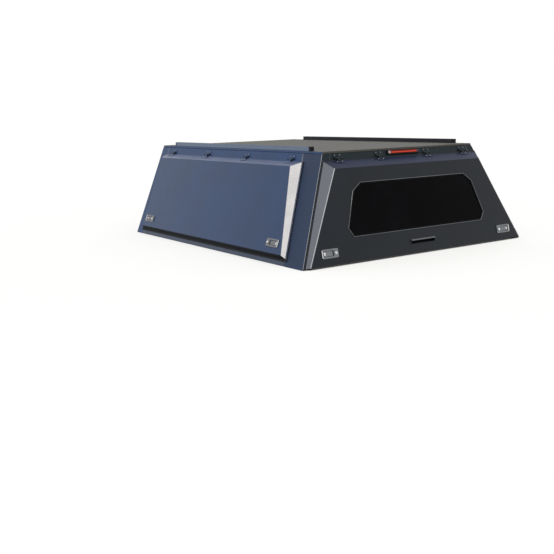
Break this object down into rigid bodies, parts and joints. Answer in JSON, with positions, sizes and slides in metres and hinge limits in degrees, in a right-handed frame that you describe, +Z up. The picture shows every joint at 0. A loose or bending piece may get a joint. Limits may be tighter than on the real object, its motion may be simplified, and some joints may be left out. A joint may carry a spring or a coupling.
{
  "type": "pickup truck canopy",
  "caption": "Lift-off canopy for a pickup load bed: sloped folded-sheet body, gullwing side doors, glazed rear hatch, latches, roof rails and a high brake light.",
  "frame": {"origin": "middle of the base, on the plane that rests on the bed rails", "axes": "+X to the right-hand side, +Y towards the cab, +Z up; the hatch faces -Y"},
  "size_m": [1.8432, 2.2292, 0.672],
  "materials": {
    "shell_coating": "fine-textured dark slate powder coat, satin",
    "roof_coating": "coarser textured dark coating, satin",
    "tinted_glass": "dark tinted, polished",
    "black_rubber": "matt black",
    "hinge_black": "black coated, satin",
    "latch_metal": "satin metal",
    "rail_metal": "black anodised, satin",
    "black_plastic": "moulded black, fine grain",
    "red_lens": "ribbed, glossy"
  },
  "bodies": {
    "root": {"front_wall": "shell_coating", "front_window_glass": "tinted_glass", "front_window_seal": "black_rubber", "left_rear_post": "shell_coating", "right_rear_post": "shell_coating", "left_front_post": "shell_coating", "right_front_post": "shell_coating", "left_header": "shell_coating", "right_header": "shell_coating", "left_sill": "shell_coating", "right_sill": "shell_coating", "rear_header": "shell_coating", "roof_panel": "roof_coating", "roof_bows": "shell_coating", "left_roof_rail": "rail_metal", "right_roof_rail": "rail_metal", "roof_rail_caps": "black_plastic", "brake_light_housing": "black_plastic", "brake_light_lens": "red_lens", "left_door_seal": "black_rubber", "right_door_seal": "black_rubber", "hatch_seal": "black_rubber", "left_fixed_hinges": "hinge_black", "right_fixed_hinges": "hinge_black", "hatch_fixed_hinges": "hinge_black"},
    "left_door": {"left_door_panel": "shell_coating", "left_door_ribs": "shell_coating", "left_door_hinge_leaves": "hinge_black", "left_door_latches": "latch_metal"},
    "right_door": {"right_door_panel": "shell_coating", "right_door_ribs": "shell_coating", "right_door_hinge_leaves": "hinge_black", "right_door_latches": "latch_metal"},
    "hatch": {"hatch_panel": "shell_coating", "hatch_glass": "tinted_glass", "hatch_window_seal": "black_rubber", "hatch_hinge_leaves": "hinge_black", "hatch_pull_handle": "black_plastic", "hatch_latches": "latch_metal"},
    "left_front_latch": {"left_front_paddle": "latch_metal"},
    "left_rear_latch": {"left_rear_paddle": "latch_metal"},
    "right_front_latch": {"right_front_paddle": "latch_metal"},
    "right_rear_latch": {"right_rear_paddle": "latch_metal"},
    "hatch_left_latch": {"hatch_left_paddle": "latch_metal"},
    "hatch_right_latch": {"hatch_right_paddle": "latch_metal"}
  },
  "joints": [
    {"name": "right_door_hinge", "type": "hinge", "parent": "root", "child": "right_door", "pos_m": [0.65497, 0, 0.5961], "axis": [0, -1, 0], "range_deg": [0, 78]},
    {"name": "left_door_hinge", "type": "hinge", "parent": "root", "child": "left_door", "pos_m": [-0.65497, 0, 0.5961], "axis": [0, 1, 0], "range_deg": [0, 78]},
    {"name": "hatch_hinge", "type": "hinge", "parent": "root", "child": "hatch", "pos_m": [0, -0.92137, 0.60528], "axis": [-1, 0, 0], "range_deg": [0, 82]},
    {"name": "left_front_latch_paddle", "type": "hinge", "parent": "left_door", "child": "left_front_latch", "pos_m": [-0.89461, 0.8353, 0.11955], "axis": [0.3743, 0, 0.9273], "range_deg": [0, 38], "stiffness_Nm_per_rad": 1.2, "springref_deg": -11.46},
    {"name": "left_rear_latch_paddle", "type": "hinge", "parent": "left_door", "child": "left_rear_latch", "pos_m": [-0.89461, -0.74392, 0.11955], "axis": [-0.3743, 0, -0.9273], "range_deg": [0, 38], "stiffness_Nm_per_rad": 1.2, "springref_deg": -11.46},
    {"name": "right_front_latch_paddle", "type": "hinge", "parent": "right_door", "child": "right_front_latch", "pos_m": [0.89461, 0.8353, 0.11955], "axis": [0.3743, 0, -0.9273], "range_deg": [0, 38], "stiffness_Nm_per_rad": 1.2, "springref_deg": -11.46},
    {"name": "right_rear_latch_paddle", "type": "hinge", "parent": "right_door", "child": "right_rear_latch", "pos_m": [0.89461, -0.74392, 0.11955], "axis": [-0.3743, 0, 0.9273], "range_deg": [0, 38], "stiffness_Nm_per_rad": 1.2, "springref_deg": -11.46},
    {"name": "hatch_left_latch_paddle", "type": "hinge", "parent": "hatch", "child": "hatch_left_latch", "pos_m": [-0.71467, -1.0958, 0.07844], "axis": [0, 0.2217, 0.9751], "range_deg": [0, 38], "stiffness_Nm_per_rad": 1.2, "springref_deg": -11.46},
    {"name": "hatch_right_latch_paddle", "type": "hinge", "parent": "hatch", "child": "hatch_right_latch", "pos_m": [0.71467, -1.0958, 0.07844], "axis": [0, -0.2217, -0.9751], "range_deg": [0, 38], "stiffness_Nm_per_rad": 1.2, "springref_deg": -11.46}
  ]
}
